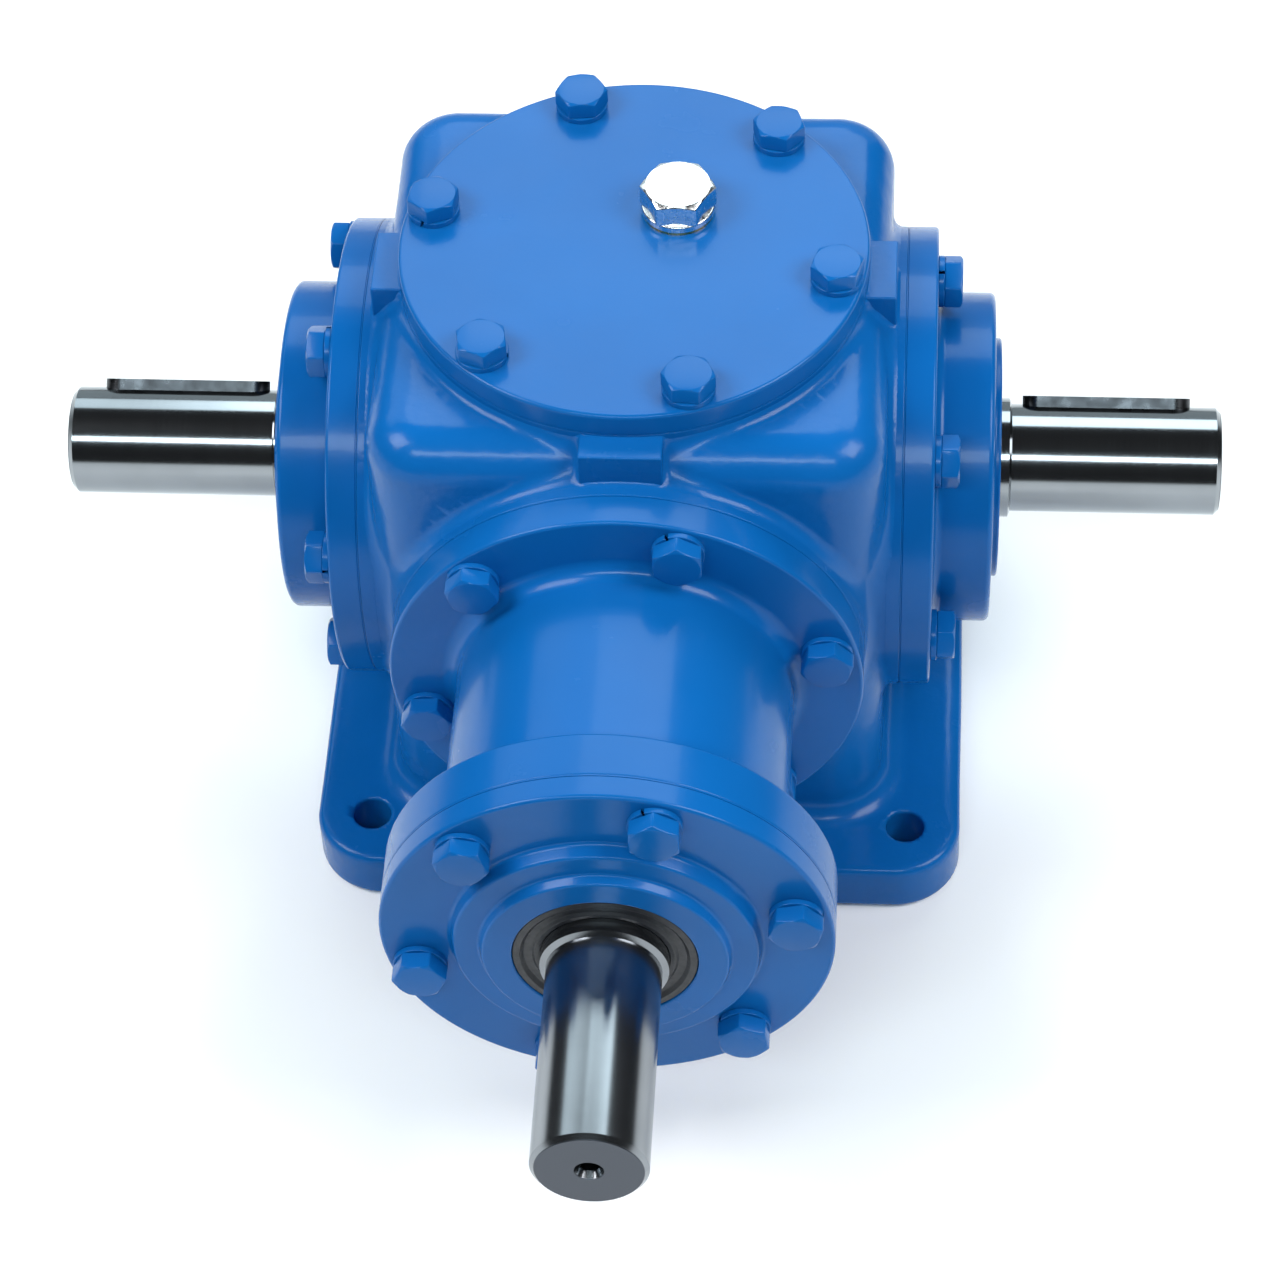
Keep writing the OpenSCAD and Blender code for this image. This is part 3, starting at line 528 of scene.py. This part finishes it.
def make_housing():
    low, high = (-141, -137, -3), (141, 137, 256)
    parts = [surface_of("housing_casting", casting_field, low, high, 1.5, 0.008)]
    for side in SIDES.values():
        parts.append(flange_rim("side_rim", FLANGE_R, OPENING_R, SIDE_FACE, on_side(side)))
    parts.append(flange_rim("front_rim", FLANGE_R, OPENING_R, FRONT_FACE, on_front()))
    parts.append(flange_rim("top_rim", COVER_R, TOP_OPENING_R, TOP_FACE, on_top()))
    for turn_x, turn_y in LAND_SIDES:
        turn = Matrix.Rotation(math.atan2(turn_y, turn_x), 4, "Z")
        parts.append(rounded_block("land", (80, -16.5, 228), (106, 16.5, LAND_TOP), 0.8, turn))
    finish_piece(join("housing_casting", parts), "gearbox", CAST_ENAMEL, "enamel", "housing")


def make_top_cover():
    corners = [
        (0, 109, 0),
        (71.5, 109, 0.5),
        (71.5, 112, 0.3),
        (COVER_R, 112, 0.4),
        (COVER_R, TOP_SEAT, 1.6),
        (0, TOP_SEAT, 0),
    ]
    piece = lathe("top_cover_plate", corners, on_top(), closed=False)
    finish_piece(piece, "gearbox", ENAMEL, "enamel", "top_cover")


def make_bearing_cover(side_name):
    corners = [
        (BEARING_R["output"], 100, 0.5),
        (SPIGOT_R, 100, 1),
        (SPIGOT_R, 110.4, 0.2),
        (FLANGE_R, 110.4, 0.4),
        (FLANGE_R, COVER_SEAT, 1.5),
        (69, COVER_SEAT, 4),
        (69, 147, 2.5),
        (50, 147, 1.2),
        (50, 150, 1),
        (SEAL_R, 150, 0.6),
        (SEAL_R, 141.5, 0.3),
        (29, 141.5, 0.3),
        (29, 138, 0.3),
        (BEARING_R["output"], 138, 0.3),
    ]
    piece = lathe(side_name + "_cover_casting", corners, on_side(SIDES[side_name]))
    finish_piece(piece, "gearbox", ENAMEL, "enamel", side_name + "_bearing_cover")


def make_quill():
    corners = [
        (BEARING_R["input"], 98, 0.5),
        (SPIGOT_R, 98, 1),
        (SPIGOT_R, 112.5, 0.2),
        (FLANGE_R, 112.5, 0.4),
        (FLANGE_R, QUILL_SEAT, 1.5),
        (68, QUILL_SEAT, 7),
        (68, 224.7, 5),
        (CAP_FLANGE_R, 224.7, 1.6),
        (CAP_FLANGE_R, 244.8, 0.8),
        (BEARING_R["input"], 244.8, 0.5),
        (BEARING_R["input"], 211.25, 0.3),
        (44, 211.25, 0.3),
        (44, 126.75, 0.3),
        (BEARING_R["input"], 126.75, 0.3),
    ]
    piece = lathe("quill_casting", corners, on_front())
    finish_piece(piece, "gearbox", ENAMEL, "enamel", "quill_housing")


def make_input_cap():
    corners = [
        (42, 241, 0.3),
        (49.9, 241, 0.3),
        (49.9, 245.3, 0.2),
        (CAP_FLANGE_R, 245.3, 0.5),
        (CAP_FLANGE_R, CAP_SEAT, 1.6),
        (60.5, CAP_SEAT, 2),
        (59, 261.6, 1.4),
        (49, 261.6, 1.4),
        (47.5, 265.6, 1.2),
        (SEAL_R, 265.6, 0.8),
        (SEAL_R, 257.1, 0.3),
        (29, 257.1, 0.3),
        (29, 253.6, 0.3),
        (42, 253.6, 0.3),
    ]
    piece = lathe("input_cap_casting", corners, on_front())
    finish_piece(piece, "gearbox", ENAMEL, "enamel", "input_cap")


def make_oil_seal(name, outer_face, place, replaced):
    """Lip seal with a moulded rim, a dished face and a dust lip at the shaft."""
    high, low = outer_face, outer_face - 8
    corners = [
        (26.5, low, 0.4),
        (35.9, low, 0.5),
        (35.9, high, 0.6),
        (33, high, 0.5),
        (31.5, high - 1.6, 0.6),
        (28.4, high - 1.6, 0.5),
        (27.2, high - 0.5, 0.4),
        (25.06, high - 0.9, 0.3),
        (25.06, high - 3.5, 0.3),
    ]
    piece = lathe(name, corners, place, segments=128)
    finish_piece(piece, "gearbox", RUBBER, "seal_rubber", replaced)


# ---------------------------------------------------------------- fasteners

def hexagon(across_flats, rounding, per_corner=5):
    """Outline of a hexagon with slightly rounded corners, one extra point in each flat."""
    inner = (across_flats / 2 - rounding) / math.cos(math.pi / 6)
    points = []
    for k in range(6):
        centre_angle = math.pi / 3 * k
        centre = inner * np.array((math.cos(centre_angle), math.sin(centre_angle)))
        for t in np.linspace(-math.pi / 6, math.pi / 6, per_corner):
            angle = centre_angle + t
            points.append(centre + rounding * np.array((math.cos(angle), math.sin(angle))))
        for share in (1 / 6, 1 / 3, 1 / 2, 2 / 3, 5 / 6):
            flat_angle = centre_angle + math.pi / 6
            middle = across_flats / 2 * np.array((math.cos(flat_angle), math.sin(flat_angle)))
            half_flat = inner / 2
            along = np.array((-math.sin(flat_angle), math.cos(flat_angle)))
            points.append(middle + along * half_flat * (2 * share - 1))
    return np.array(points)


def hex_head(name, across_flats, height, place, shank_r, shank, rounding=0.9):
    """Forged hex head with a chamfered top, on a plain shank."""
    outline = hexagon(across_flats, rounding)
    radius = np.linalg.norm(outline, axis=1)
    round_r = across_flats * 0.488
    drop = np.maximum(radius - round_r, 0) * math.tan(math.radians(27))
    rim = outline * (round_r / radius)[:, None]
    inner = outline * (shank_r / radius)[:, None]
    rings = [
        (inner, np.full(len(outline), -float(shank))),
        (inner, np.zeros(len(outline))),
        (outline * 0.97, np.zeros(len(outline))),
        (outline, np.full(len(outline), 0.35)),
        (outline, height - drop - 0.5),
        (outline * 0.985, height - drop - 0.12),
        (rim, np.full(len(outline), height - 0.06)),
        (rim * 0.97, np.full(len(outline), float(height))),
    ]
    points = [(*xy, z) for ring, heights in rings for xy, z in zip(ring, heights)]
    count = len(outline)
    faces = []
    for low in range(0, (len(rings) - 1) * count, count):
        high = low + count
        for k in range(count):
            m = (k + 1) % count
            faces.append((low + k, low + m, high + m, high + k))
    faces.append(tuple(range(count - 1, -1, -1)))
    faces.append(tuple((len(rings) - 1) * count + k for k in range(count)))
    head = new_mesh(name, points, faces, place=place)
    head.data.set_sharp_from_angle(angle=math.radians(24))
    return head


def spring_washer(name, seat, place):
    """Lock washer pressed flat: a ring with a narrow slit on local +X."""
    bore, rim, top = 6.5, 10.6, seat + WASHER_THICKNESS
    section = [(bore, seat, 0.3), (rim, seat, 0.3), (rim, top, 0.4), (bore, top, 0.3)]
    outline, outward = rounded_outline(section)
    half_slit = 0.07  # radians
    angles = np.linspace(half_slit, 2 * math.pi - half_slit, 49)
    count = len(outline)
    points = [(r * math.cos(a), r * math.sin(a), z) for a in angles for r, z in outline]
    normals = [(nr * math.cos(a), nr * math.sin(a), nz) for a in angles for nr, nz in outward]
    last = (len(angles) - 1) * count
    faces = []
    for here in range(0, last, count):
        after = here + count
        for k in range(count):
            m = (k + 1) % count
            faces.append((here + k, after + k, after + m, here + m))
    faces.append(tuple(range(count)))
    faces.append(tuple(last + k for k in range(count - 1, -1, -1)))
    return new_mesh(name, points, faces, normals, place)


def make_bolts(group, place, circle, phase, seat, length):
    """Six painted M12 bolts, each left at its own angle by the spanner."""
    heads, washers = [], []
    for k, spot in enumerate(around(6, circle, phase)):
        here = place @ spot
        on_washer = here @ Matrix.Translation((0, 0, seat + WASHER_THICKNESS))
        turned = on_washer @ Matrix.Rotation(math.radians(17 * k), 4, "Z")
        heads.append(hex_head(f"{group}_head_{k}", 19, 7.5, turned, 6, length))
        slit_turned = here @ Matrix.Rotation(0.7 * k, 4, "Z")
        washers.append(spring_washer(f"{group}_washer_{k}", seat, slit_turned))
    finish_piece(join(group + "_bolt_set", heads), "gearbox", ENAMEL, "enamel", group + "_bolts")
    finish_piece(join(group + "_washer_set", washers), "gearbox", ENAMEL, "enamel", group + "_washers")


def make_plug(name, place, across_flats, head, collar_r, thread_r, length, replaced):
    """Hex plug with a round collar, as one piece. The hex starts a little inside the collar."""
    collar_outline = [(0, 0, 0), (collar_r, 0, 0.3), (collar_r, 3, 0.8), (0, 3, 0)]
    collar = lathe(name + "_collar", collar_outline, place, closed=False, segments=96)
    start = 2.5
    above = place @ Matrix.Translation((0, 0, start))
    hexed = hex_head(name + "_hex", across_flats, head - start, above, thread_r, length + start, 0.6)
    finish_piece(join(name, [hexed, collar]), "gearbox", ZINC, "zinc_plate", replaced)


def make_sight_glass():
    """Brass ring screwed into the rear wall, with a glass pane in it."""
    place = on_rear(SIGHT_GLASS_HEIGHT)
    rim_outline = [
        (12, -13, 0.3),
        (13.2, -13, 0.3),
        (13.2, 2, 0.2),
        (18, 2, 0.4),
        (18, 5, 0.8),
        (16, 7, 0.8),
        (12, 7, 0.8),
    ]
    rim = lathe("sight_glass_rim", rim_outline, place, segments=96)
    finish_piece(rim, "gearbox", BRASS, "brass", "oil_sight_glass")
    pane_outline = [(0, 0, 0), (12, 0, 0.3), (12, 4.5, 0.5), (0, 4.5, 0)]
    pane = lathe("sight_glass_pane", pane_outline, place, closed=False, segments=96)
    finish_piece(pane, "gearbox", GLASS, "brass")


# ---------------------------------------------------------------- the model

def paint_cad_nodes():
    """Better materials on the CAD nodes whose shape is already right."""
    def paint(material, *names):
        for name in names:
            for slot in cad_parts[name].material_slots:
                slot.material = material

    paint(ENAMEL, "top_cover_gasket", "input_cap_gasket", "left_cover_shims", "right_cover_shims",
          "quill_shims")
    paint(BRASS, "filler_plug_washer", "drain_plug_washer")
    paint(SHAFT_X, "output_shaft")
    paint(SHAFT_Y, "input_shaft")
    paint(KEY, "left_shaft_key", "right_shaft_key", "input_shaft_key", "gear_key", "pinion_key")
    paint(DARK, "output_gear", "input_pinion", "gear_spacer", "pinion_spacer", "pinion_lock_nut",
          "bearing_lock_nut", "pinion_lock_washer", "bearing_lock_washer")
    for bearing in ("left", "right", "inner", "outer"):
        paint(DARK, bearing + "_bearing_cage")
        paint(BEARING, *(f"{bearing}_bearing_{part}" for part in ("cup", "cone", "rollers")))


make_housing()
make_top_cover()
make_quill()
make_input_cap()
make_bolts("top_cover", on_top(), BOLT_CIRCLE, 48, TOP_SEAT, 30)
make_bolts("quill", on_front(), BOLT_CIRCLE, 14, QUILL_SEAT, 35)
make_bolts("input_cap", on_front(), CAP_BOLT_CIRCLE, 14, CAP_SEAT, 30)
make_oil_seal("input_seal_ring", 265.1, on_front(), "input_oil_seal")
for side_name, side in SIDES.items():
    make_bearing_cover(side_name)
    make_bolts(side_name + "_cover", on_side(side), BOLT_CIRCLE, 104, COVER_SEAT, 33)
    make_oil_seal(side_name + "_seal_ring", 149.5, on_side(side), side_name + "_oil_seal")
make_plug("filler_plug_hex", on_top() @ Matrix.Translation((17, 20, 123.5)), across_flats=27, head=13,
          collar_r=15, thread_r=10.5, length=13, replaced="filler_plug")
make_plug("drain_plug_hex", on_rear(DRAIN_HEIGHT) @ Matrix.Translation((0, 0, 3.5)), across_flats=22,
          head=8, collar_r=12.5, thread_r=8.3, length=15, replaced="drain_plug")
make_sight_glass()
paint_cad_nodes()


# ---------------------------------------------------------------- floor, lights and camera

def make_floor():
    """A plain pale floor, 12 m square."""
    material, shader = new_material("studio_floor", (0.95, 0.945, 0.94), 0, 0.6)
    link(material, ramp(material, noise(material, 3, 2), 0.55, 0.65), shader.inputs["Roughness"])
    corners = [(-6000, -6000, 0), (6000, -6000, 0), (6000, 6000, 0), (-6000, 6000, 0)]
    floor = new_mesh("studio_floor", corners, [(0, 1, 2, 3)])
    floor.data.materials.append(material)


def area_light(name, place, target, size, power, colour=(1, 1, 1)):
    """Rectangular softbox in metres, aimed at a point."""
    data = bpy.data.lights.new(name, "AREA")
    data.shape = "RECTANGLE"
    data.size, data.size_y = size
    data.energy = power
    data.color = colour
    light = bpy.data.objects.new(name, data)
    light.location = place
    aim = Vector(target) - Vector(place)
    light.rotation_euler = aim.to_track_quat("-Z", "Y").to_euler()
    bpy.context.scene.collection.objects.link(light)
    return light


def make_lights():
    """Three bright panels behind, a lamp near the camera and two softboxes above, in a dim room."""
    world = bpy.data.worlds.new("studio")
    world.use_nodes = True
    background = world.node_tree.nodes["Background"]
    background.inputs["Color"].default_value = (0.93, 0.96, 1, 1)
    background.inputs["Strength"].default_value = 0.04
    bpy.context.scene.world = world
    cool = (0.80, 0.95, 1)
    area_light("back_panel_right", (0.5, 2.2, 2.45), (0.5, 0, 0.2), (2.4, 1.6), 55, cool)
    area_light("back_panel_left", (-2.0, 2.2, 2.45), (-2.0, 0, 0.2), (2.6, 1.6), 27, cool)
    area_light("back_panel_low", (-0.3, 2.9, 0.9), (-0.3, 0, 0.2), (4.5, 1.6), 13, cool)
    area_light("camera_lamp", (-0.1, -1.45, 1.75), (0, 0, 0.14), (1.4, 0.3), 18, cool)
    area_light("left_softbox", (-1.5, -0.4, 1.9), (0, 0, 0.15), (1.1, 1.1), 38)
    area_light("right_softbox", (1.5, -0.4, 1.9), (0, 0, 0.15), (1.1, 1.1), 38)


def make_camera():
    """The photograph's viewpoint: from above the input shaft, a little to the right."""
    data = bpy.data.cameras.new("camera")
    data.lens = 122.3
    data.sensor_width = 36
    data.clip_end = 30
    turn, tilt, roll = math.radians(5.37), math.radians(49.85), math.radians(-2.83)
    back = Vector((math.sin(turn) * math.cos(tilt), -math.cos(turn) * math.cos(tilt), math.sin(tilt)))
    right = Vector((math.cos(turn), math.sin(turn), 0))
    up = back.cross(right)
    rolled_right = right * math.cos(roll) + up * math.sin(roll)
    rolled_up = up * math.cos(roll) - right * math.sin(roll)
    target = Vector((-0.00537, 0, 0.01502))
    distance = 1.9363
    camera = bpy.data.objects.new("camera", data)
    axes = Matrix((rolled_right, rolled_up, back)).transposed().to_4x4()
    camera.matrix_world = Matrix.Translation(target + back * distance) @ axes
    bpy.context.scene.collection.objects.link(camera)
    bpy.context.scene.camera = camera


make_floor()
make_lights()
make_camera()
bpy.context.scene.view_settings.view_transform = "Standard"
